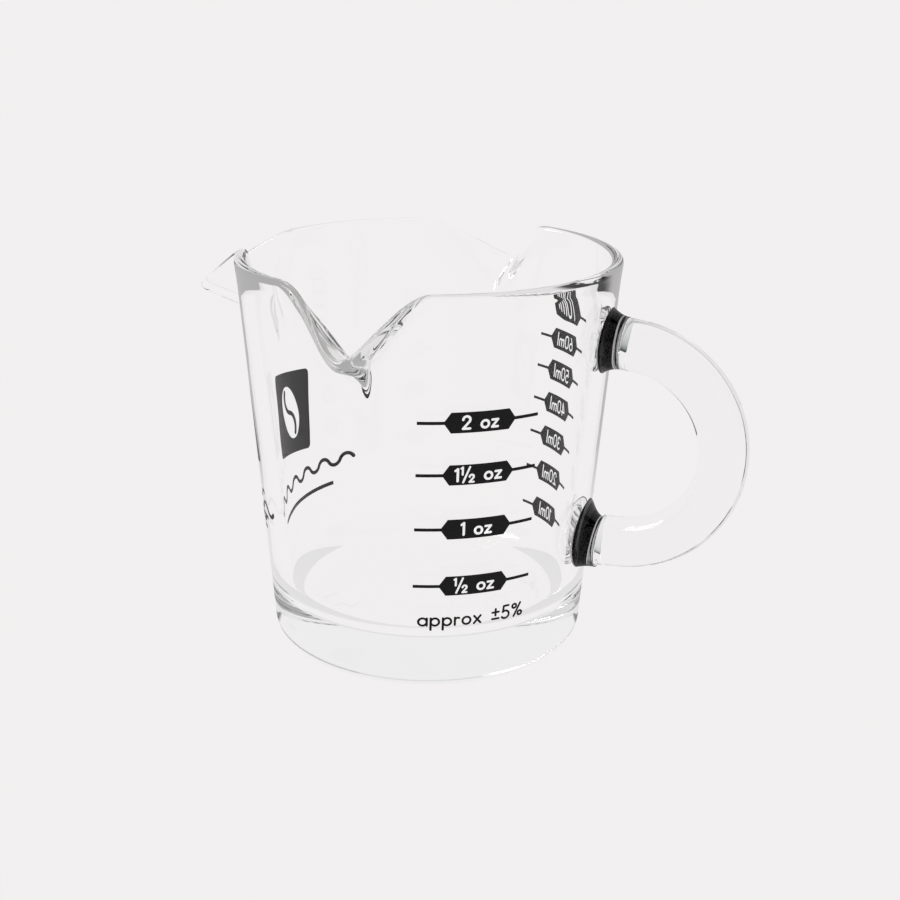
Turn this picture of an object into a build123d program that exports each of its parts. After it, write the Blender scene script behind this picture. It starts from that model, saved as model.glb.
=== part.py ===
from build123d import *
import math
import os

# A three-spouted glass shot measure with a C-shaped glass handle and fired enamel marks.
# Frame: millimetres, origin at the centre of the foot, +Z up, handle towards +X.
# Azimuths are in degrees, counted from +X towards +Y.

# Driving dimensions of the cup
height = 59.7
foot_cone_radius = 23.5
rim_cone_radius = 28.3
foot_cavity_radius = 20.5
rim_cavity_radius = 26.4
rim_thickness = 1.7
rim_flare = 0.1
flare_depth = 3.5
foot_corner = 3.6
floor_height = 7.2
floor_fillet = 5.0

# Driving dimensions of the spouts: three V-shaped lips, the two side ones a mirrored pair.
# Each is its azimuth, the half angles of its V before and after that azimuth, and its reach.
spouts = ((180.0, 11.0, 11.0, 9.6), (87.5, 12.0, 17.8, 7.9), (-87.5, 17.8, 12.0, 7.9))
spout_drop = 7.2
spout_fold_depth = 11.1
tip_softness = 0.15
shoulder_softness = 0.75
fold_blend_above = 4.0
fold_blend_below = 7.4
rim_blend_below = 2.0
spout_zone = 19.3
section_count = 144
fuse_tolerance = 0.001

# Driving dimensions of the handle and the two glass seals that weld it on
handle_centre_x = 29.9
handle_centre_z = 33.6
handle_bend_radius = 15.1
upper_leg_tilt = 5.5
lower_leg_tilt = 4.0
rod_radius = 3.7
seal_end_radius = 3.8
upper_seal_radius = 4.8
upper_seal_rise = 0.0
lower_seal_radius = 5.3
lower_seal_rise = 1.0
seal_thickness = 2.6
joint_gap = 0.01

# Driving dimensions of the enamel marks
print_gap = 0.02
print_thickness = 0.06
artwork_start = 8.0
artwork_depth = 30.0
ounce_ml = 29.5735
held_share = 0.96
mark_reach = 2.5
tag_slope = 0.34

ounce_azimuth = -53.8
ounce_tag_tip = 5.1
ounce_tag_height = 3.0
ounce_line_reach = 8.55
ounce_line_width = 0.46
ounce_text = 1.78
ounce_weight = 0.36

millilitre_azimuth = 49.2
millilitre_tag_tip = 4.45
millilitre_tag_height = 3.2
millilitre_line_reach = 7.0
millilitre_line_width = 0.4
millilitre_text = 1.85
millilitre_weight = 0.3
millilitre_step = 10
millilitre_last = 70

note_z = 12.0
note_text = 2.0
note_weight = 0.32

# Driving dimensions of the emblem on the side opposite the handle
emblem_azimuth = 180.0
emblem_reach = 9.0
rule_reach = 3.0
panel_z = 31.6
panel_width = 13.2
panel_height = 12.9
panel_corner = 0.8
panel_turn = 8.0
bean_half_width = 3.0
bean_half_length = 4.5
bean_turn = -20.0
seam_radius = 2.4
seam_width = 0.7
seam_offset = (1.45, 1.9)
seam_sweep = 104.0
rule_width = 0.6
wave_z = 20.6
wave_half_width = 15.0
wave_count = 6
wave_arc = 120.0
plain_rule_z = 17.0
plain_rule_half_width = 10.5

# Derived values
half_rim = rim_thickness / 2
cone_slope = (rim_cone_radius - foot_cone_radius) / height
cone_tilt = math.atan(cone_slope)
cavity_slope = (rim_cavity_radius - foot_cavity_radius) / height
zone_bottom = height - spout_zone
arc_pull = 4 / 3 * (math.sqrt(2) - 1)

os.makedirs("parts", exist_ok=True)


def cone_radius(z):
    """Outer radius of the plain conical wall at height z."""
    return foot_cone_radius + cone_slope * z


def cavity_radius(z):
    """Inner radius of the plain conical wall at height z."""
    return foot_cavity_radius + cavity_slope * z


def fill_height(volume_ml):
    """Height of a liquid's surface when the cup holds the given volume."""
    floor_radius = cavity_radius(floor_height)
    lost_in_fillet = 2 * math.pi * floor_radius * (1 - math.pi / 4) * floor_fillet**2
    cone_term = 3 * cavity_slope * (1000 * volume_ml + lost_in_fillet) / math.pi
    surface_radius = (floor_radius**3 + cone_term) ** (1 / 3)
    return floor_height + (surface_radius - floor_radius) / cavity_slope


def mark_height(volume_ml):
    """Height of a printed mark: the cup holds slightly less there than the mark says."""
    return fill_height(held_share * volume_ml)


# ---------------------------------------------------------------- the cup


def spout_at(azimuth):
    """Share (1 on a spout's centre line, 0 on the plain rim) and reach of the spout there."""
    best_share, best_reach = 0.0, 0.0
    for centre, before, after, reach in spouts:
        offset = (azimuth - centre + 180) % 360 - 180
        across = offset / (before if offset < 0 else after)
        softened = math.hypot(across, tip_softness) - tip_softness
        rise = softened / (math.hypot(1, tip_softness) - tip_softness)
        mix = min(max(0.5 + 0.5 * (1 - rise) / shoulder_softness, 0), 1)
        share = mix * (1 - rise) + shoulder_softness * mix * (1 - mix)
        if share > best_share:
            best_share, best_reach = share, reach
    return best_share, best_reach


def wall_section(azimuth):
    """Closed outline of the upper wall in the vertical plane at one azimuth."""
    share, reach = spout_at(azimuth)
    angle = math.radians(azimuth)
    plane = Plane(
        origin=(0, 0, 0),
        x_dir=(math.cos(angle), math.sin(angle), 0),
        z_dir=(math.sin(angle), -math.cos(angle), 0),
    )
    fold_z = height - flare_depth - (spout_fold_depth - flare_depth) * share
    lip_radius = rim_cone_radius + rim_flare - half_rim + reach * share
    start = Vector((cone_radius(zone_bottom) + cavity_radius(zone_bottom)) / 2, zone_bottom)
    fold = Vector((cone_radius(fold_z) + cavity_radius(fold_z)) / 2, fold_z)
    lip = Vector(lip_radius, height - half_rim - spout_drop * share)
    half_wall = (cone_radius(fold_z) - cavity_radius(fold_z)) / 2

    lower = (fold - start).normalized()
    upper = (lip - fold).normalized()
    lower_normal = Vector(lower.Y, -lower.X)
    upper_normal = Vector(upper.Y, -upper.X)
    mitre = (lower_normal + upper_normal) / (1 + lower_normal.dot(upper_normal))
    below = rim_blend_below + (fold_blend_below - rim_blend_below) * share

    def skin(side, radius_at):
        """Foot, blend start, corner, blend end and lip points of one face."""
        foot = Vector(radius_at(zone_bottom), zone_bottom)
        corner_z = fold_z + side * half_wall * mitre.Y
        corner = Vector(radius_at(corner_z), corner_z)
        edge = lip + upper_normal * (side * half_rim)
        above = min(fold_blend_above, 0.45 * (edge - corner).length)
        before = corner - (corner - foot).normalized() * below
        after = corner + (edge - corner).normalized() * above
        return [plane.from_local_coords(p) for p in (foot, before, corner, after, edge)]

    outer = skin(1, cone_radius)
    inner = skin(-1, cavity_radius)
    tip = plane.from_local_coords(lip + upper * half_rim)
    along = plane.from_local_coords(upper) * (arc_pull * half_rim)
    across = plane.from_local_coords(upper_normal) * (arc_pull * half_rim)
    return Wire([
        Edge.make_line(outer[0], outer[1]),
        Edge.make_bezier(outer[1], outer[2], outer[3]),
        Edge.make_line(outer[3], outer[4]),
        Edge.make_bezier(outer[4], outer[4] + along, tip + across, tip),
        Edge.make_bezier(tip, tip - across, inner[4] + along, inner[4]),
        Edge.make_line(inner[4], inner[3]),
        Edge.make_bezier(inner[3], inner[2], inner[1]),
        Edge.make_line(inner[1], inner[0]),
        Edge.make_line(inner[0], outer[0]),
    ])


def spouted_wall(first_azimuth):
    """Half of the upper wall, 180 degrees round from a plain azimuth to the opposite one."""
    step = 360 / section_count
    azimuths = [first_azimuth + step * index for index in range(section_count // 2 + 1)]
    return Solid.make_loft([wall_section(azimuth) for azimuth in azimuths])


def cup_body():
    """The plain cup below the spouts: thick floor and conical wall."""
    with BuildPart() as body:
        with BuildSketch(Plane.XZ) as section:
            with BuildLine():
                Polyline(
                    (0, 0),
                    (foot_cone_radius, 0),
                    (cone_radius(zone_bottom), zone_bottom),
                    (cavity_radius(zone_bottom), zone_bottom),
                    (cavity_radius(floor_height), floor_height),
                    (0, floor_height),
                    close=True,
                )
            make_face()
            fillet(section.vertices().sort_by_distance((foot_cone_radius, 0))[0], foot_corner)
            floor_corner = (cavity_radius(floor_height), floor_height)
            fillet(section.vertices().sort_by_distance(floor_corner)[0], floor_fillet)
        revolve(axis=Axis.Z)
    return body.part.solid()


def make_cup():
    """The whole pressed body, its two wall halves meeting between the spouts."""
    halves = (spouted_wall(45), spouted_wall(225))
    return cup_body().fuse(*halves, tol=fuse_tolerance).solid()


# ---------------------------------------------------------------- handle and seals


def leg_end(side):
    """Where the upper (side 1) or lower (side -1) end of the bend turns into a leg."""
    tilt = math.radians(upper_leg_tilt if side > 0 else lower_leg_tilt)
    x = handle_centre_x + handle_bend_radius * math.sin(tilt)
    z = handle_centre_z + side * handle_bend_radius * math.cos(tilt)
    return Vector(x, 0, z), Vector(-math.cos(tilt), 0, side * math.sin(tilt))


def leg_foot(side):
    """Where the centre line of a leg meets the cup's wall."""
    end, along = leg_end(side)
    return end + along * ((end.X - cone_radius(end.Z)) / (cone_slope * along.Z - along.X))


def seal_plane(side):
    """Plane on the cup's wall at a handle leg, facing out along the wall's normal."""
    return Plane(
        origin=leg_foot(side),
        x_dir=(0, 1, 0),
        z_dir=(math.cos(cone_tilt), 0, -math.sin(cone_tilt)),
    )


def cone_shell(low, high, inner_gap, outer_gap):
    """Solid between two cones that run parallel to the cup's wall."""
    with BuildPart() as shell:
        with BuildSketch(Plane.XZ):
            with BuildLine():
                Polyline(
                    (cone_radius(low) + inner_gap, low),
                    (cone_radius(low) + outer_gap, low),
                    (cone_radius(high) + outer_gap, high),
                    (cone_radius(high) + inner_gap, high),
                    close=True,
                )
            make_face()
        revolve(axis=Axis.Z)
    return shell.part


def seal_ring(face, step, radius, rise):
    """Round section of a seal: step 0 is on the wall, step 1 on the rod's cut end."""
    spread = (1 - step) ** 2
    ring = Wire.make_circle(seal_end_radius + (radius - seal_end_radius) * spread)
    return face.offset(step * seal_thickness) * Pos(0, rise * spread) * ring


def make_seal(side, radius, rise):
    """Flared collar of glass between the wall and one leg of the handle."""
    face = seal_plane(side)
    z = leg_foot(side).Z
    steps = [quarter / 4 for quarter in range(-2, 5)]  # starts inside the wall
    collar = Solid.make_loft([seal_ring(face, step, radius, rise) for step in steps])
    reach = 3 * radius
    cup_side = cone_shell(z - reach, z + reach, -reach, joint_gap)
    return (Part() + collar - cup_side).solid()


def make_handle():
    """Solid glass rod, bent to a C with its legs spread a little, and cut at each seal."""
    upper_start = seal_plane(1).offset(seal_thickness + joint_gap)
    lower_start = seal_plane(-1).offset(seal_thickness + joint_gap)
    top, _ = leg_end(1)
    bottom, _ = leg_end(-1)
    outermost = (handle_centre_x + handle_bend_radius, 0, handle_centre_z)
    with BuildPart() as rod:
        with BuildLine() as path:
            Line(leg_foot(1), top)
            ThreePointArc(top, outermost, bottom)
            Line(bottom, leg_foot(-1))
        with BuildSketch(path.line ^ 0):
            Circle(rod_radius)
        sweep(path=path.line)
        split(bisect_by=upper_start, keep=Keep.TOP)
        split(bisect_by=lower_start, keep=Keep.TOP)
    return rod.part.solid()


# ---------------------------------------------------------------- lettering
# A glyph is strokes on a skeleton one unit high: a line is two points, an arc is
# centre x and y, radius, start angle and sweep. The first number is the glyph's width.

GLYPHS = {
    "0": (0.54, [(0, 0.27, 0, 0.73), (0.54, 0.27, 0.54, 0.73),
                 (0.27, 0.73, 0.27, 0, 180), (0.27, 0.27, 0.27, 180, 180)]),
    "1": (0.18, [(0.18, 0, 0.18, 1), (0, 0.86, 0.18, 1)]),
    "2": (0.54, [(0.27, 0.73, 0.27, -42, 222), (0.47, 0.55, 0, 0), (0, 0, 0.54, 0)]),
    "3": (0.52, [(0.25, 0.76, 0.24, -90, 240), (0.25, 0.26, 0.26, -150, 240)]),
    "4": (0.6, [(0.44, 0, 0.44, 1), (0.44, 1, 0, 0.26), (0, 0.26, 0.6, 0.26)]),
    "5": (0.54, [(0.5, 1, 0.12, 1), (0.12, 1, 0.06, 0.52), (0.24, 0.3, 0.3, -145, 275)]),
    "6": (0.56, [(0.28, 0.28, 0.28, 0, 360), (0.04, 0.42, 0.36, 1)]),
    "7": (0.52, [(0, 1, 0.52, 1), (0.52, 1, 0.14, 0)]),
    "/": (0.4, [(0, 0, 0.4, 1)]),
    "a": (0.58, [(0.29, 0.29, 0.29, 0, 360), (0.58, 0, 0.58, 0.58)]),
    "l": (0.0, [(0, 0, 0, 1.05)]),
    "m": (0.72, [(0, 0, 0, 0.58), (0.36, 0, 0.36, 0.4), (0.72, 0, 0.72, 0.4),
                 (0.18, 0.4, 0.18, 0, 180), (0.54, 0.4, 0.18, 0, 180)]),
    "o": (0.58, [(0.29, 0.29, 0.29, 0, 360)]),
    "p": (0.58, [(0.29, 0.29, 0.29, 0, 360), (0, -0.34, 0, 0.58)]),
    "r": (0.28, [(0, 0, 0, 0.58), (0.2, 0.36, 0.2, 60, 120)]),
    "x": (0.48, [(0, 0, 0.48, 0.58), (0, 0.58, 0.48, 0)]),
    "z": (0.46, [(0, 0.58, 0.46, 0.58), (0.46, 0.58, 0, 0), (0, 0, 0.46, 0)]),
    "%": (0.78, [(0.16, 0.82, 0.16, 0, 360), (0.62, 0.18, 0.16, 0, 360), (0.14, 0, 0.64, 1)]),
    "±": (0.5, [(0, 0.62, 0.5, 0.62), (0.25, 0.36, 0.25, 0.88), (0, 0.1, 0.5, 0.1)]),
    " ": (0.36, []),
}
letter_space = 0.27
half_figure_share = 0.6
half_slash_share = 1.25
half_weight_share = 0.85


def draw_stroke(stroke, size, weight):
    """Flat face of one round-ended stroke."""
    if len(stroke) == 4:
        x1, y1, x2, y2 = [size * value for value in stroke]
        length = math.hypot(x2 - x1, y2 - y1)
        slope = math.degrees(math.atan2(y2 - y1, x2 - x1))
        middle = ((x1 + x2) / 2, (y1 + y2) / 2)
        return Pos(*middle) * Rot(0, 0, slope) * SlotCenterToCenter(length, weight)
    x, y, radius = [size * value for value in stroke[:3]]
    start, sweep_angle = stroke[3:]
    if sweep_angle == 360:
        return Pos(x, y) * (Circle(radius + weight / 2) - Circle(radius - weight / 2))
    return SlotArc(CenterArc((x, y), radius, start, sweep_angle), weight)


def draw_glyph(char, size, weight):
    """Flat face of one glyph, and its width."""
    width, strokes = GLYPHS[char]
    faces = [draw_stroke(stroke, size, weight) for stroke in strokes]
    return sum(faces, Sketch()), width * size


def draw_half(size, weight):
    """The one-half sign, a little taller than the figures: small 1 and 2 round a slash."""
    small = half_figure_share * size
    tall = half_slash_share * size
    thin = half_weight_share * weight
    one, one_width = draw_glyph("1", small, thin)
    two, two_width = draw_glyph("2", small, thin)
    slash, slash_width = draw_glyph("/", tall, thin)
    low = (size - tall) / 2
    slash_x = one_width + thin / 3
    two_x = slash_x + slash_width
    sign = Pos(0, low + tall - small) * one + Pos(slash_x, low) * slash + Pos(two_x, low) * two
    return sign, two_x + two_width


def draw_text(text, size, weight):
    """A line of lettering on the sketch plane, centred on its origin."""
    word = Sketch()
    x = 0.0
    for char in text:
        if char == "½":
            glyph, width = draw_half(size, weight)
        else:
            glyph, width = draw_glyph(char, size, weight)
        if char != " ":
            word += Pos(x, 0) * glyph
        x += width + letter_space * size
    width = x - letter_space * size
    return Pos(-width / 2, -size / 2) * word


# ---------------------------------------------------------------- enamel marks


def fire_on(artwork, azimuth, z, reach):
    """Lay flat artwork on the outside of the wall, centred at an azimuth and height."""
    angle = math.radians(azimuth)
    outward = (math.cos(angle), math.sin(angle), 0)
    level = (-math.sin(angle), math.cos(angle), 0)
    plane = Plane(origin=(0, 0, z), x_dir=level, z_dir=outward)
    block = extrude(plane.offset(artwork_start) * artwork, artwork_depth)
    shell = cone_shell(z - reach, z + reach, print_gap, print_gap + print_thickness)
    return block & shell


def draw_tag(tip, tall, line_reach, line_width):
    """Six-sided tag with a level line running out on both sides."""
    shoulder = tip - tag_slope * tall
    half = tall / 2
    corners = [(tip, 0), (shoulder, half), (-shoulder, half)]
    corners += [(-tip, 0), (-shoulder, -half), (shoulder, -half)]
    return make_face(Polyline(*corners, close=True)) + Rectangle(2 * line_reach, line_width)


def ounce_mark(text, ounces):
    """Graduation in fluid ounces, lettering knocked out of a solid tag."""
    tag = draw_tag(ounce_tag_tip, ounce_tag_height, ounce_line_reach, ounce_line_width)
    artwork = tag - draw_text(text, ounce_text, ounce_weight)
    return fire_on(artwork, ounce_azimuth, mark_height(ounces * ounce_ml), mark_reach)


def millilitre_mark(volume):
    """Graduation in millilitres, a narrower tag with a finer line."""
    tag = draw_tag(
        millilitre_tag_tip, millilitre_tag_height, millilitre_line_reach, millilitre_line_width
    )
    artwork = tag - draw_text(f"{volume}ml", millilitre_text, millilitre_weight)
    return fire_on(artwork, millilitre_azimuth, mark_height(volume), mark_reach)


def make_note():
    """Small tolerance note under the lowest ounce mark."""
    words = draw_text("approx ±5%", note_text, note_weight)
    return fire_on(words, ounce_azimuth, note_z, mark_reach)


def make_panel():
    """Solid panel under the spout opposite the handle, with a coffee bean knocked out."""
    across, along = seam_offset
    start = -seam_sweep / 2
    seam = SlotArc(CenterArc((-across, along), seam_radius, start, seam_sweep), seam_width)
    seam += SlotArc(CenterArc((across, -along), seam_radius, 180 + start, seam_sweep), seam_width)
    bean = Rot(0, 0, bean_turn) * (Ellipse(bean_half_width, bean_half_length) - seam)
    label = Rot(0, 0, panel_turn) * RectangleRounded(panel_width, panel_height, panel_corner)
    return fire_on(label - bean, emblem_azimuth, panel_z, emblem_reach)


def make_wave():
    """Decorative wavy line under the panel, of arcs that curve up and down in turn."""
    pitch = wave_half_width / wave_count
    radius = pitch / 2 / math.sin(math.radians(wave_arc / 2))
    drop = radius * math.cos(math.radians(wave_arc / 2))
    line = Sketch()
    for index in range(2 * wave_count):
        x = (index + 0.5) * pitch - wave_half_width
        rises = index % 2 == 0
        centre = (x, -drop if rises else drop)
        start = (90 if rises else 270) - wave_arc / 2
        line += SlotArc(CenterArc(centre, radius, start, wave_arc), rule_width)
    return fire_on(line, emblem_azimuth, wave_z, rule_reach)


def make_rule():
    """Plain level line under the wavy one."""
    line = Rectangle(2 * plain_rule_half_width, rule_width)
    return fire_on(line, emblem_azimuth, plain_rule_z, rule_reach)


parts = {
    "cup": make_cup(),
    "handle": make_handle(),
    "upper_handle_seal": make_seal(1, upper_seal_radius, upper_seal_rise),
    "lower_handle_seal": make_seal(-1, lower_seal_radius, lower_seal_rise),
    "half_ounce_mark": ounce_mark("½ oz", 0.5),
    "one_ounce_mark": ounce_mark("1 oz", 1.0),
    "one_and_half_ounce_mark": ounce_mark("1½ oz", 1.5),
    "two_ounce_mark": ounce_mark("2 oz", 2.0),
    "tolerance_note": make_note(),
    "emblem_panel": make_panel(),
    "emblem_upper_rule": make_wave(),
    "emblem_lower_rule": make_rule(),
}
for volume in range(millilitre_step, millilitre_last + 1, millilitre_step):
    parts[f"millilitre_mark_{volume}"] = millilitre_mark(volume)

for node, shape in parts.items():
    export_step(shape, f"parts/{node}.step")
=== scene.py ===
import math

import bmesh
import bpy
from mathutils import Matrix, Vector


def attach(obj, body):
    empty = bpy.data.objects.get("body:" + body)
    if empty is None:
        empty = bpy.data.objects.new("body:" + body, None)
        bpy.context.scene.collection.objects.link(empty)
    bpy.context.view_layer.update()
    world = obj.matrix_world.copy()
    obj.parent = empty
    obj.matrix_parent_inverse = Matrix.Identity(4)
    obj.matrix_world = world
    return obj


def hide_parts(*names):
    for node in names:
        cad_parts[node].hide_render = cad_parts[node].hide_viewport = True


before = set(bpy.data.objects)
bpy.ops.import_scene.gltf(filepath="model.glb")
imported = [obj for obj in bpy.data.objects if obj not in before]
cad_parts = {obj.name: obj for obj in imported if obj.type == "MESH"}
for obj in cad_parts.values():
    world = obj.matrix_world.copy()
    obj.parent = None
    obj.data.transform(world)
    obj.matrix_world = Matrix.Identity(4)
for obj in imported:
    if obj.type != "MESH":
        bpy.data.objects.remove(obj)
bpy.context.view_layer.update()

MM = 0.001

# ---------------------------------------------------------------- shape of the glass, mm
height = 59.7
foot_cone_radius = 23.5
rim_cone_radius = 28.3
foot_cavity_radius = 20.5
rim_cavity_radius = 26.4
rim_thickness = 1.7
rim_flare = 0.1
flare_depth = 3.5
foot_corner = 3.6
floor_height = 7.2
floor_fillet = 5.0

# each spout: azimuth, half angle on its falling and its rising azimuth side, reach
spouts = ((180.0, 11.0, 11.0, 9.6), (87.5, 12.0, 17.8, 7.9), (-87.5, 17.8, 12.0, 7.9))
spout_drop = 7.2
spout_fold_depth = 11.1
tip_softness = 0.15
shoulder_softness = 0.75
fold_blend_above = 4.0
fold_blend_below = 7.4
rim_blend_below = 2.0

handle_centre_x = 29.9
handle_centre_z = 33.6
handle_bend_radius = 15.1
upper_leg_tilt = 5.5
lower_leg_tilt = 4.0
rod_radius = 3.7
seal_end_radius = 3.8
upper_seal_radius = 4.8
upper_seal_rise = 0.0
lower_seal_radius = 5.3
lower_seal_rise = 1.0
seal_thickness = 2.6
joint_gap = 0.01
print_contact = 0.05
pole_radius = 0.6
rod_waist = 0.08
rod_flare_length = 1.2

half_rim = rim_thickness / 2
cone_slope = (rim_cone_radius - foot_cone_radius) / height
cone_tilt = math.atan(cone_slope)
cavity_slope = (rim_cavity_radius - foot_cavity_radius) / height
cavity_tilt = math.atan(cavity_slope)

# ---------------------------------------------------------------- camera, world
camera_azimuth = 20.9
camera_elevation = 19.1
camera_distance = 235.9
camera_target_z = 28.3
camera_lens = 61.6
camera_shift = (0.0245, 0.0045)
camera_roll = 0.25
backdrop = (0.888, 0.871, 0.871)

# the surroundings that glass reflects and refracts: share of the half turn away from
# straight ahead of the camera, on either side, and brightness there
surroundings = ((0.0, 1.0), (0.40, 1.0), (0.43, 0.05), (0.55, 0.05), (0.60, 0.72), (1.0, 0.68))
key_light_at = (-0.35, -0.1, 0.45)
key_light_size = (0.25, 0.35)
key_light_power = 3
floor_radius = 3.0
floor_gap = 0.00005

# ---------------------------------------------------------------- looks of the glass
glass_ior = 1.52
polarised_share = 0.3
total_reflection = 0.98
trapped_depth = 4.5
# painted shade in the glow round each seal's foot: darkest within the first distance, gone by the
# second
painted_seal_shade = 0.08
seal_shade_full_to, seal_shade_gone_from = 5.5, 9.0
# painted shade in the glow: darker on fold flanks whose normals face one way and lean, and only
# high on the cup
fold_turn = (-0.02, 0.2)
fold_painted_shade = (0.05, 0.85)
fold_lean = (0.04, 0.26)
wall_painted_shade = 0.45
painted_shade_above = (12.0, 34.0)
seal_rim = 0.05
seal_skin_depth = 1.2

# each kind of glass: tint, absorption per metre, ripple size and height in mm, and the
# brightness of the painted glow that ends light still trapped inside
cup_look = ((0.93, 0.945, 0.945), 12, 9, 0.012, 0.88)
rod_look = ((0.93, 0.935, 0.935), 45, 7, 0.03, 0.9)
# the seal's dark tint, strong absorption and low glow level are painted shade
painted_dark_seal_look = ((0.3, 0.3, 0.3), 130, 4, 0.05, 0.4)
ripple_detail = 1.5

# ---------------------------------------------------------------- looks of the enamel
speckle_size = 0.25
enamel_shades = ((0.35, (0.004, 0.004, 0.0045)), (0.75, (0.012, 0.012, 0.013)))
enamel_roughness = (0.3, 0.5)
enamel_sheen = 0.12
enamel_relief = 0.01


# ---------------------------------------------------------------- mesh helpers


def new_object(name, verts, faces, material, nodes, joint=None):
    """Smooth-shaded object that stands for CAD nodes and rides on the one body.

    joint is a material and the numbers of the faces that meet fused glass.
    """
    mesh = bpy.data.meshes.new(name)
    mesh.from_pydata([tuple(MM * c for c in v) for v in verts], [], faces)
    mesh.validate()
    mesh.polygons.foreach_set("use_smooth", [True] * len(mesh.polygons))
    mesh.update()
    bm = bmesh.new()
    bm.from_mesh(mesh)
    bmesh.ops.recalc_face_normals(bm, faces=bm.faces)
    bm.to_mesh(mesh)
    bm.free()
    obj = bpy.data.objects.new(name, mesh)
    bpy.context.scene.collection.objects.link(obj)
    mesh.materials.append(material)
    if joint:
        mesh.materials.append(joint[0])
        for number in joint[1]:
            mesh.polygons[number].material_index = 1
    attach(obj, "root")
    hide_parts(*nodes)
    return obj


def ring_grid(rings, first_pole, last_pole):
    """Closed surface from equal rings of points, with one pole point at each end."""
    count = len(rings[0])
    verts = [first_pole] + [p for ring in rings for p in ring] + [last_pole]
    faces = []
    for i in range(count):
        faces.append((0, 1 + (i + 1) % count, 1 + i))
    for r in range(len(rings) - 1):
        low, high = 1 + r * count, 1 + (r + 1) * count
        for i in range(count):
            j = (i + 1) % count
            faces.append((low + i, low + j, high + j, high + i))
    low, pole = 1 + (len(rings) - 1) * count, len(verts) - 1
    for i in range(count):
        faces.append((low + i, low + (i + 1) % count, pole))
    return verts, faces


# ---------------------------------------------------------------- the cup


def cone_radius(z):
    """Outer radius of the plain wall at height z."""
    return foot_cone_radius + cone_slope * z


def printed_radius(z):
    """Outer skin under the enamel: just proud, so that prints and glass touch optically."""
    return cone_radius(z) + print_contact


def cavity_radius(z):
    """Inner radius of the plain wall at height z."""
    return foot_cavity_radius + cavity_slope * z


def spout_at(azimuth):
    """Share (1 on a spout's centre line, 0 on the plain rim) and reach of the spout there."""
    best, its_reach = 0.0, 0.0
    for centre, before, after, reach in spouts:
        offset = (azimuth - centre + 180) % 360 - 180
        across = offset / (before if offset < 0 else after)
        softened = math.hypot(across, tip_softness) - tip_softness
        rise = softened / (math.hypot(1, tip_softness) - tip_softness)
        mix = min(max(0.5 + 0.5 * (1 - rise) / shoulder_softness, 0), 1)
        share = mix * (1 - rise) + shoulder_softness * mix * (1 - mix)
        if share > best:
            best, its_reach = share, reach
    return best, its_reach


def line(a, b, count):
    """Points from a towards b, without b."""
    return [a + (b - a) * (i / count) for i in range(count)]


def arc(centre, radius, start, end, count):
    """Points on an arc between two angles in degrees, without the last."""
    angles = [math.radians(start + (end - start) * i / count) for i in range(count)]
    return [centre + radius * Vector((math.cos(t), math.sin(t))) for t in angles]


def curve(a, b, c, count):
    """Points on a quadratic curve from a to c, pulled to b, without c."""
    steps = [i / count for i in range(count)]
    return [a * (1 - t) ** 2 + b * (2 * t * (1 - t)) + c * t**2 for t in steps]


def cup_profile(azimuth):
    """Half section of the cup at one azimuth, from under the foot round to the floor."""
    share, reach = spout_at(azimuth)
    fold_z = height - flare_depth - (spout_fold_depth - flare_depth) * share
    start_z = fold_z - 12
    start = Vector(((cone_radius(start_z) + cavity_radius(start_z)) / 2, start_z))
    fold = Vector(((cone_radius(fold_z) + cavity_radius(fold_z)) / 2, fold_z))
    lip = Vector((rim_cone_radius + rim_flare - half_rim + reach * share,
                  height - half_rim - spout_drop * share))
    half_wall = (cone_radius(fold_z) - cavity_radius(fold_z)) / 2
    lower = (fold - start).normalized()
    upper = (lip - fold).normalized()
    lower_normal = Vector((lower.y, -lower.x))
    upper_normal = Vector((upper.y, -upper.x))
    mitre = (lower_normal + upper_normal) / (1 + lower_normal.dot(upper_normal))
    below = rim_blend_below + (fold_blend_below - rim_blend_below) * share

    def skin(side, radius_at):
        """Blend start, corner, blend end and lip points of one face."""
        corner_z = fold_z + side * half_wall * mitre.y
        corner = Vector((radius_at(corner_z), corner_z))
        foot = Vector((radius_at(start_z), start_z))
        edge = lip + upper_normal * (side * half_rim)
        above = min(fold_blend_above, 0.45 * (edge - corner).length)
        before = corner - (corner - foot).normalized() * below
        after = corner + (edge - corner).normalized() * above
        return before, corner, after, edge

    outer_before, outer_corner, outer_after, outer_edge = skin(1, printed_radius)
    inner_before, inner_corner, inner_after, inner_edge = skin(-1, cavity_radius)

    slant = math.degrees(cone_tilt)
    foot_reach = foot_corner * math.tan(math.radians(90 - slant) / 2)
    foot_centre = Vector((printed_radius(0) - foot_reach, foot_corner))
    inner_slant = math.degrees(cavity_tilt)
    floor_reach = floor_fillet * math.tan(math.radians(90 - inner_slant) / 2)
    floor_centre = Vector((cavity_radius(floor_height) - floor_reach, floor_height + floor_fillet))
    foot_end = foot_centre + foot_corner * Vector((math.cos(-cone_tilt), math.sin(-cone_tilt)))
    floor_start = floor_centre + floor_fillet * Vector(
        (math.cos(-cavity_tilt), math.sin(-cavity_tilt)))

    points = line(Vector((pole_radius, 0)), Vector((foot_centre.x, 0)), 12)
    points += arc(foot_centre, foot_corner, -90, -slant, 16)
    points += line(foot_end, outer_before, 30)
    points += curve(outer_before, outer_corner, outer_after, 16)
    points += line(outer_after, outer_edge, 10)
    lean = math.degrees(math.atan2(upper_normal.y, upper_normal.x))
    points += arc(lip, half_rim, lean, lean + 180, 22)
    points += line(inner_edge, inner_after, 10)
    points += curve(inner_after, inner_corner, inner_before, 16)
    points += line(inner_before, floor_start, 30)
    points += arc(floor_centre, floor_fillet, -inner_slant, -90, 14)
    points += line(Vector((floor_centre.x, floor_height)), Vector((pole_radius, floor_height)), 12)
    return points


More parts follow.
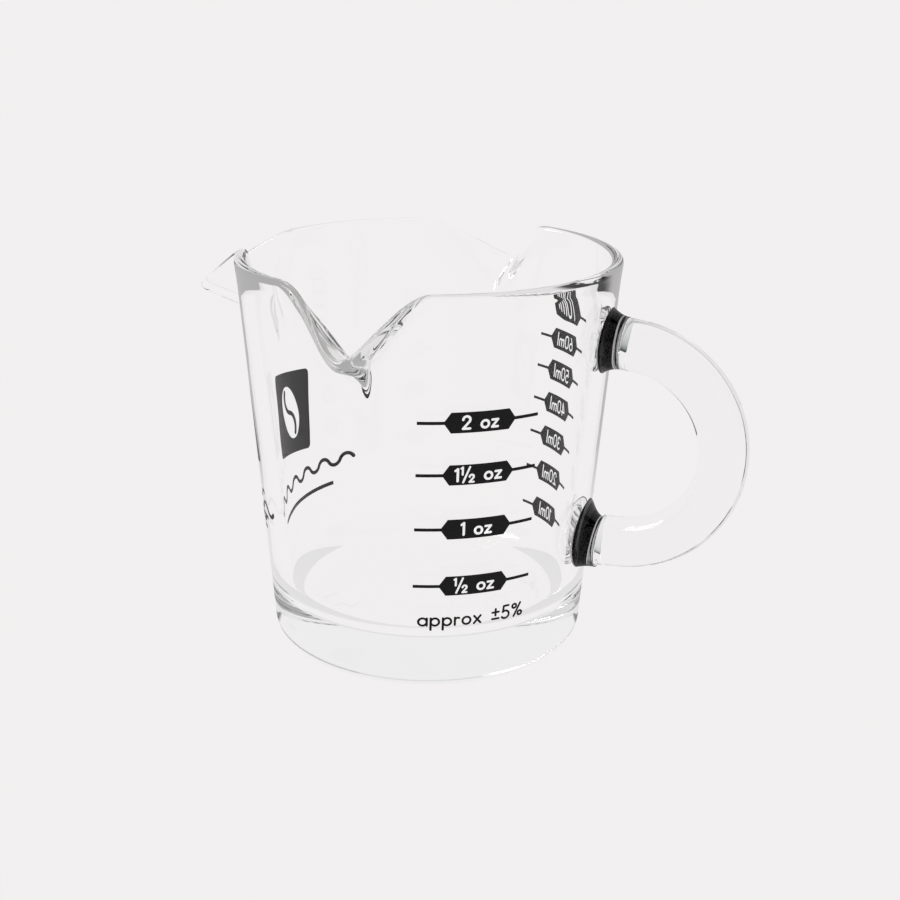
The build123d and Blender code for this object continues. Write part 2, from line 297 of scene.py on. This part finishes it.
def make_cup(material):
    """Whole cup as one closed mesh: the same profile rule at every azimuth."""
    turns = 720
    columns = [cup_profile(360 * k / turns) for k in range(turns)]
    angles = [math.radians(360 * k / turns) for k in range(turns)]
    rings = []
    for row in range(len(columns[0])):
        ring = []
        for column, angle in zip(columns, angles):
            r, z = column[row]
            ring.append((r * math.cos(angle), r * math.sin(angle), z))
        rings.append(ring)
    verts, faces = ring_grid(rings, (0, 0, 0), (0, 0, floor_height))
    return new_object("cup_glass", verts, faces, material, ["cup"])


# ---------------------------------------------------------------- handle and seals


wall_out = Vector((math.cos(cone_tilt), 0, -math.sin(cone_tilt)))
wall_up = Vector((math.sin(cone_tilt), 0, math.cos(cone_tilt)))


def leg_end(side):
    """Where the upper (side 1) or lower (side -1) end of the bend turns into a leg."""
    tilt = math.radians(upper_leg_tilt if side > 0 else lower_leg_tilt)
    at = Vector((handle_centre_x + handle_bend_radius * math.sin(tilt), 0,
                 handle_centre_z + side * handle_bend_radius * math.cos(tilt)))
    return at, Vector((-math.cos(tilt), 0, side * math.sin(tilt)))


def leg_foot(side):
    """Where the centre line of a leg meets the cup's wall."""
    end, along = leg_end(side)
    return end + along * ((end.x - cone_radius(end.z)) / (cone_slope * along.z - along.x))


def rod_start(side):
    """Middle of the rod's cut end, on the far face of its seal."""
    foot = leg_foot(side)
    _, along = leg_end(side)
    return foot + along * ((seal_thickness + joint_gap) / along.dot(wall_out))


def handle_path():
    """Centre line of the rod from the upper seal to the lower seal, with tangents."""
    top, top_along = leg_end(1)
    bottom, bottom_along = leg_end(-1)
    start, stop = rod_start(1), rod_start(-1)
    steps = 30
    points = [(start + (top - start) * (i / steps), -top_along) for i in range(steps)]
    turns = 120
    first, last = 90 - upper_leg_tilt, lower_leg_tilt - 90
    for i in range(turns + 1):
        t = math.radians(first + (last - first) * i / turns)
        at = Vector((handle_centre_x + handle_bend_radius * math.cos(t), 0,
                     handle_centre_z + handle_bend_radius * math.sin(t)))
        points.append((at, Vector((math.sin(t), 0, -math.cos(t)))))
    for i in range(1, steps + 1):
        points.append((bottom + (stop - bottom) * (i / steps), bottom_along))
    return points


def make_handle(material, joint_material):
    """Bent rod: a touch slimmer round the bend, and cut flush with its seals."""
    path = handle_path()
    around = 96
    lengths = [0.0]
    for (a, _), (b, _) in zip(path, path[1:]):
        lengths.append(lengths[-1] + (b - a).length)
    total = lengths[-1]
    rings = []
    for (at, along), run in zip(path, lengths):
        from_end = min(run, total - run)
        radius = rod_radius - rod_waist * math.sin(math.pi * run / total)
        radius += (seal_end_radius - rod_radius) * math.exp(-from_end / rod_flare_length)
        side = Vector((0, 1, 0))
        up = along.cross(side)
        cut = rod_start(1) if run < total / 2 else rod_start(-1)
        ring = []
        for i in range(around):
            t = 2 * math.pi * i / around
            p = at + side * (radius * math.cos(t)) + up * (radius * math.sin(t))
            inside = (cut - p).dot(wall_out)
            if inside > 0 or from_end == 0:
                p = p + along * (inside / along.dot(wall_out))
            ring.append(tuple(p))
        rings.append(ring)
    verts, faces = ring_grid(rings, tuple(path[0][0]), tuple(path[-1][0]))
    ends = list(range(around)) + list(range(len(faces) - around, len(faces)))
    return new_object("handle_rod", verts, faces, material, ["handle"],
                      (joint_material, ends))


def make_seal(name, node, side, radius, rise, material, joint_material):
    """Flared collar between the wall and the rod: its back follows the cup's cone."""
    origin = leg_foot(side)
    level = Vector((0, 1, 0))
    around = 96

    def onto_wall(at):
        """The point moved along the wall's normal until it meets the cone's skin."""
        for _ in range(6):
            gap = math.hypot(at.x, at.y) - cone_radius(at.z) - joint_gap
            at = at - wall_out * (gap / math.cos(cone_tilt) * math.hypot(at.x, at.y) / at.x)
        return at

    def ring_at(step, share):
        spread = (1 - step) ** 2
        size = share * (seal_end_radius + (radius - seal_end_radius) * spread)
        middle = origin + wall_up * (rise * spread) + wall_out * (step * seal_thickness)
        points = []
        for i in range(around):
            t = 2 * math.pi * i / around
            points.append(middle + level * (size * math.cos(t)) + wall_up * (size * math.sin(t)))
        return points

    back = [ring_at(0, k / 10) for k in range(1, 11)]
    rings = [[tuple(onto_wall(p)) for p in ring] for ring in back]
    skin = []
    for k in range(1, 25):
        step = k / 24
        ring = []
        for p in ring_at(step, 1):
            foot = onto_wall(p)
            ring.append(tuple(p if (p - foot).dot(wall_out) > 0 else foot))
        skin.append(ring)
    rings += skin
    rings += [[tuple(p) for p in ring_at(1, 1 - k / 8)] for k in range(1, 8)]
    first = onto_wall(origin + wall_up * rise)
    verts, faces = ring_grid(rings, tuple(first), tuple(origin + wall_out * seal_thickness))
    on_wall = list(range(around * len(back)))
    on_rod = list(range(len(faces) - 8 * around, len(faces)))
    return new_object(name, verts, faces, material, [node],
                      (joint_material, on_wall + on_rod))


# ---------------------------------------------------------------- materials


class Nodes:
    """Short way to write a node tree."""

    def __init__(self, owner):
        owner.use_nodes = True
        self.tree = owner.node_tree
        self.tree.nodes.clear()

    def add(self, kind, **settings):
        node = self.tree.nodes.new(kind)
        for key, value in settings.items():
            if hasattr(node, key):
                setattr(node, key, value)
            else:
                node.inputs[key].default_value = value
        return node

    def join(self, source, target):
        self.tree.links.new(source, target)


def fused_material():
    """The inside of a hot-glass joint: nothing to see, as the two pieces are one glass."""
    material = bpy.data.materials.new("fused_glass_joint")
    n = Nodes(material)
    out = n.add("ShaderNodeOutputMaterial")
    clear = n.add("ShaderNodeBsdfTransparent")
    n.join(clear.outputs["BSDF"], out.inputs["Surface"])
    return material


def near_seal(n, where, side, radius, rise):
    """Node output: 1 on the cup's outer skin inside one seal's footprint, else 0."""
    centre = leg_foot(side) + wall_up * rise
    off = n.add("ShaderNodeVectorMath", operation="DISTANCE")
    off.inputs[1].default_value = tuple(MM * c for c in centre)
    n.join(where.outputs["Object"], off.inputs[0])
    inside = n.add("ShaderNodeMath", operation="LESS_THAN")
    inside.inputs[1].default_value = (radius - seal_rim) * MM
    n.join(off.outputs["Value"], inside.inputs[0])
    depth = n.add("ShaderNodeVectorMath", operation="DOT_PRODUCT")
    depth.inputs[1].default_value = tuple(wall_out)
    n.join(where.outputs["Object"], depth.inputs[0])
    skin = n.add("ShaderNodeMath", operation="GREATER_THAN")
    skin.inputs[1].default_value = (centre.dot(wall_out) - seal_skin_depth) * MM
    n.join(depth.outputs["Value"], skin.inputs[0])
    both = n.add("ShaderNodeMath", operation="MULTIPLY")
    n.join(inside.outputs["Value"], both.inputs[0])
    n.join(skin.outputs["Value"], both.inputs[1])
    return both.outputs["Value"]


def map_range(n, source, low, high, at_low, at_high):
    """Node output: source eased from at_low, at low and under, to at_high."""
    node = n.add("ShaderNodeMapRange", interpolation_type="SMOOTHSTEP")
    node.inputs["From Min"].default_value = low
    node.inputs["From Max"].default_value = high
    node.inputs["To Min"].default_value = at_low
    node.inputs["To Max"].default_value = at_high
    n.join(source, node.inputs["Value"])
    return node.outputs["Result"]


def calculate(n, operation, a, b):
    """Node output: one calculation on two outputs or numbers."""
    node = n.add("ShaderNodeMath", operation=operation)
    for value, target in ((a, node.inputs[0]), (b, node.inputs[1])):
        if isinstance(value, (int, float)):
            target.default_value = value
        else:
            n.join(value, target)
    return node.outputs["Value"]


def painted_trapped_glow(n, where, level):
    """Node output: brightness of the painted glow that stands in for light still caught in the
    glass.

    Painted shade makes the left flanks of the folds and the glass round the seals dark, and the
    painted glow makes the thick base pale.
    """
    geometry = n.add("ShaderNodeNewGeometry")
    normal = n.add("ShaderNodeSeparateXYZ")
    n.join(geometry.outputs["Normal"], normal.inputs[0])
    place = n.add("ShaderNodeSeparateXYZ")
    n.join(where.outputs["Object"], place.inputs[0])
    # painted shade: the glow is darkened on fold flanks by the direction of their normal, above a
    # set height
    turned = calculate(n, "MULTIPLY", normal.outputs["X"], normal.outputs["Y"])
    painted_fold_shade = map_range(n, turned, *fold_turn, *fold_painted_shade)
    lean = calculate(n, "ABSOLUTE", normal.outputs["Z"], 0)
    leaning = map_range(n, lean, *fold_lean, wall_painted_shade, 1)
    low, high = painted_shade_above
    upper = map_range(n, place.outputs["Z"], low * MM, high * MM, 0, 1)
    darkness = calculate(n, "MULTIPLY", calculate(n, "MULTIPLY", painted_fold_shade, leaning), upper)
    left = calculate(n, "SUBTRACT", 1, darkness)
    # painted shade: the glow fades to a low level round the foot of each seal
    for side in (1, -1):
        off = n.add("ShaderNodeVectorMath", operation="DISTANCE")
        off.inputs[1].default_value = tuple(MM * c for c in leg_foot(side))
        n.join(where.outputs["Object"], off.inputs[0])
        seal = map_range(n, off.outputs["Value"], seal_shade_full_to * MM, seal_shade_gone_from * MM,
                         painted_seal_shade, 1)
        left = calculate(n, "MULTIPLY", left, seal)
    return calculate(n, "MULTIPLY", left, level)


def glass_material(name, tint, density, ripple_size, ripple, painted_glow_level, seals=()):
    """Clear glass with faint ripples in its skin and a slight tint with depth.

    Its surface reflections are weakened, as through a polarising filter. Light that is
    still inside after trapped_depth steps ends in a painted glow: the backdrop's colour times the
    given glow level.
    Inside the footprint of each seal the skin is clear, since the glass goes on there.
    """
    material = bpy.data.materials.new(name)
    n = Nodes(material)
    out = n.add("ShaderNodeOutputMaterial")
    through = n.add("ShaderNodeBsdfRefraction")
    through.inputs["Roughness"].default_value = 0.0
    through.inputs["IOR"].default_value = glass_ior
    mirror = n.add("ShaderNodeBsdfAnisotropic")
    mirror.inputs["Color"].default_value = (1, 1, 1, 1)
    mirror.inputs["Roughness"].default_value = 0.0
    fresnel = n.add("ShaderNodeFresnel")
    fresnel.inputs["IOR"].default_value = glass_ior
    total = n.add("ShaderNodeMath", operation="GREATER_THAN")
    total.inputs[1].default_value = total_reflection
    n.join(fresnel.outputs["Fac"], total.inputs[0])
    partial = n.add("ShaderNodeMath", operation="MULTIPLY")
    partial.inputs[1].default_value = polarised_share
    n.join(fresnel.outputs["Fac"], partial.inputs[0])
    share = n.add("ShaderNodeMath", operation="MAXIMUM")
    n.join(total.outputs["Value"], share.inputs[0])
    n.join(partial.outputs["Value"], share.inputs[1])
    skin = n.add("ShaderNodeMixShader")
    n.join(share.outputs["Value"], skin.inputs["Fac"])
    n.join(through.outputs["BSDF"], skin.inputs[1])
    n.join(mirror.outputs["BSDF"], skin.inputs[2])
    where = n.add("ShaderNodeTexCoord")
    surface = skin.outputs["Shader"]
    for seal in seals:
        mix = n.add("ShaderNodeMixShader")
        clear = n.add("ShaderNodeBsdfTransparent")
        n.join(near_seal(n, where, *seal), mix.inputs["Fac"])
        n.join(surface, mix.inputs[1])
        n.join(clear.outputs["BSDF"], mix.inputs[2])
        surface = mix.outputs["Shader"]
    path = n.add("ShaderNodeLightPath")
    trapped = n.add("ShaderNodeMath", operation="GREATER_THAN")
    trapped.inputs[1].default_value = trapped_depth
    n.join(path.outputs["Ray Depth"], trapped.inputs[0])
    # painted glow: rays still inside the glass end in a glow of the backdrop's colour, darkened by
    # painted shade
    glow = n.add("ShaderNodeEmission")
    glow.inputs["Color"].default_value = (*backdrop, 1)
    n.join(painted_trapped_glow(n, where, painted_glow_level), glow.inputs["Strength"])
    ended = n.add("ShaderNodeMixShader")
    n.join(trapped.outputs["Value"], ended.inputs["Fac"])
    n.join(surface, ended.inputs[1])
    n.join(glow.outputs["Emission"], ended.inputs[2])
    n.join(ended.outputs["Shader"], out.inputs["Surface"])
    noise = n.add("ShaderNodeTexNoise")
    noise.inputs["Scale"].default_value = 1 / (ripple_size * MM)
    noise.inputs["Detail"].default_value = ripple_detail
    n.join(where.outputs["Object"], noise.inputs["Vector"])
    bump = n.add("ShaderNodeBump")
    bump.inputs["Strength"].default_value = 1.0
    bump.inputs["Distance"].default_value = ripple * MM
    n.join(noise.outputs["Fac"], bump.inputs["Height"])
    for node in (through, mirror, fresnel):
        n.join(bump.outputs["Normal"], node.inputs["Normal"])
    volume = n.add("ShaderNodeVolumeAbsorption")
    volume.inputs["Color"].default_value = (*tint, 1)
    volume.inputs["Density"].default_value = density
    n.join(volume.outputs["Volume"], out.inputs["Volume"])
    return material


def enamel_material():
    """Fired black enamel: satin, with a fine dry speckle and uneven depth of colour."""
    material = bpy.data.materials.new("black_enamel_print")
    n = Nodes(material)
    out = n.add("ShaderNodeOutputMaterial")
    shader = n.add("ShaderNodeBsdfPrincipled")
    n.join(shader.outputs["BSDF"], out.inputs["Surface"])
    where = n.add("ShaderNodeTexCoord")
    speckle = n.add("ShaderNodeTexNoise")
    speckle.inputs["Scale"].default_value = 1 / (speckle_size * MM)
    speckle.inputs["Detail"].default_value = 4
    n.join(where.outputs["Object"], speckle.inputs["Vector"])
    shade = n.add("ShaderNodeValToRGB")
    for element, (at, colour) in zip(shade.color_ramp.elements, enamel_shades):
        element.position = at
        element.color = (*colour, 1)
    n.join(speckle.outputs["Fac"], shade.inputs["Fac"])
    n.join(shade.outputs["Color"], shader.inputs["Base Color"])
    shader.inputs["Specular IOR Level"].default_value = enamel_sheen
    rough = n.add("ShaderNodeMapRange")
    rough.inputs["To Min"].default_value = enamel_roughness[0]
    rough.inputs["To Max"].default_value = enamel_roughness[1]
    n.join(speckle.outputs["Fac"], rough.inputs["Value"])
    n.join(rough.outputs["Result"], shader.inputs["Roughness"])
    bump = n.add("ShaderNodeBump")
    bump.inputs["Distance"].default_value = enamel_relief * MM
    bump.inputs["Strength"].default_value = 0.5
    n.join(speckle.outputs["Fac"], bump.inputs["Height"])
    n.join(bump.outputs["Normal"], shader.inputs["Normal"])
    return material


# ---------------------------------------------------------------- stage, world, camera


def camera_direction():
    """Unit vector from the target to the camera."""
    a, e = math.radians(camera_azimuth), math.radians(camera_elevation)
    return Vector((math.sin(a) * math.cos(e), -math.cos(a) * math.cos(e), math.sin(e)))


def make_floor():
    """Plain pale floor of the backdrop's colour, a hair under the foot."""
    around = 96
    ring = [(floor_radius * math.cos(2 * math.pi * i / around),
             floor_radius * math.sin(2 * math.pi * i / around), 0) for i in range(around)]
    mesh = bpy.data.meshes.new("floor")
    mesh.from_pydata(ring, [], [list(range(around))])
    floor = bpy.data.objects.new("floor", mesh)
    floor.location.z = -floor_gap
    bpy.context.scene.collection.objects.link(floor)
    material = bpy.data.materials.new("pale_floor")
    n = Nodes(material)
    out = n.add("ShaderNodeOutputMaterial")
    glow = n.add("ShaderNodeEmission")
    glow.inputs["Color"].default_value = (*backdrop, 1)
    n.join(glow.outputs["Emission"], out.inputs["Surface"])
    mesh.materials.append(material)


def make_world():
    """Even pale surroundings, with dark cards that only reflections and refractions meet."""
    world = bpy.data.worlds.new("studio")
    bpy.context.scene.world = world
    n = Nodes(world)
    out = n.add("ShaderNodeOutputWorld")
    back = n.add("ShaderNodeBackground")
    n.join(back.outputs["Background"], out.inputs["Surface"])
    where = n.add("ShaderNodeTexCoord")
    a = math.radians(camera_azimuth)
    ahead = n.add("ShaderNodeVectorMath", operation="DOT_PRODUCT")
    ahead.inputs[1].default_value = (-math.sin(a), math.cos(a), 0)
    right = n.add("ShaderNodeVectorMath", operation="DOT_PRODUCT")
    right.inputs[1].default_value = (math.cos(a), math.sin(a), 0)
    n.join(where.outputs["Generated"], ahead.inputs[0])
    n.join(where.outputs["Generated"], right.inputs[0])
    side = n.add("ShaderNodeMath", operation="ABSOLUTE")
    n.join(right.outputs["Value"], side.inputs[0])
    angle = n.add("ShaderNodeMath", operation="ARCTAN2")
    n.join(side.outputs["Value"], angle.inputs[0])
    n.join(ahead.outputs["Value"], angle.inputs[1])
    ramp = n.add("ShaderNodeValToRGB")
    scale = n.add("ShaderNodeMath", operation="DIVIDE")
    scale.inputs[1].default_value = math.pi
    n.join(angle.outputs["Value"], scale.inputs[0])
    n.join(scale.outputs["Value"], ramp.inputs["Fac"])
    elements = ramp.color_ramp.elements
    while len(elements) < len(surroundings):
        elements.new(0.5)
    for element, (at, level) in zip(elements, surroundings):
        element.position = at
        element.color = (level, level, level, 1)
    tint = n.add("ShaderNodeMix", data_type="RGBA", blend_type="MULTIPLY")
    tint.inputs["Factor"].default_value = 1.0
    n.join(ramp.outputs["Color"], tint.inputs[6])
    tint.inputs[7].default_value = (*backdrop, 1)
    seen = n.add("ShaderNodeLightPath")
    pick = n.add("ShaderNodeMix", data_type="RGBA")
    n.join(seen.outputs["Is Camera Ray"], pick.inputs["Factor"])
    n.join(tint.outputs[2], pick.inputs[6])
    pick.inputs[7].default_value = (*backdrop, 1)
    n.join(pick.outputs[2], back.inputs["Color"])


def area_light(name, at, size, power):
    """Soft rectangular light that faces the middle of the cup."""
    light = bpy.data.lights.new(name, "AREA")
    light.shape = "RECTANGLE"
    light.size, light.size_y = size
    light.energy = power
    lamp = bpy.data.objects.new(name, light)
    lamp.location = at
    aim = Vector((0, 0, camera_target_z * MM)) - Vector(at)
    lamp.rotation_euler = aim.to_track_quat("-Z", "Y").to_euler()
    bpy.context.scene.collection.objects.link(lamp)


def make_camera():
    """Camera at the reference angle, aimed at the middle of the cup."""
    data = bpy.data.cameras.new("camera")
    data.lens = camera_lens
    data.shift_x, data.shift_y = camera_shift
    data.clip_start = 0.001
    camera = bpy.data.objects.new("camera", data)
    bpy.context.scene.collection.objects.link(camera)
    towards = camera_direction()
    target = Vector((0, 0, camera_target_z * MM))
    camera.location = target + towards * camera_distance * MM
    turn = (-towards).to_track_quat("-Z", "Y").to_matrix()
    camera.rotation_euler = (turn @ Matrix.Rotation(math.radians(camera_roll), 3, "Z")).to_euler()
    bpy.context.scene.camera = camera


# ---------------------------------------------------------------- build

seals = ((1, upper_seal_radius, upper_seal_rise), (-1, lower_seal_radius, lower_seal_rise))
cup_glass = glass_material("pressed_glass", *cup_look, seals)
fused_glass = fused_material()
handle_glass = glass_material("rod_glass", *rod_look)
# painted shade: the seals are drawn as dark glass, though they are the same clear glass as the rod
seal_glass = glass_material("seal_glass", *painted_dark_seal_look)
enamel = enamel_material()

make_cup(cup_glass)
make_handle(handle_glass, fused_glass)
make_seal("upper_seal_collar", "upper_handle_seal", 1, upper_seal_radius,
          upper_seal_rise, seal_glass, fused_glass)
make_seal("lower_seal_collar", "lower_handle_seal", -1, lower_seal_radius,
          lower_seal_rise, seal_glass, fused_glass)

glass_nodes = ("cup", "handle", "upper_handle_seal", "lower_handle_seal")
for name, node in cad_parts.items():
    if name not in glass_nodes:
        node.data.materials.clear()
        node.data.materials.append(enamel)

make_floor()
make_world()
area_light("key_light", key_light_at, key_light_size, key_light_power)
make_camera()
bpy.context.scene.view_settings.view_transform = "Standard"
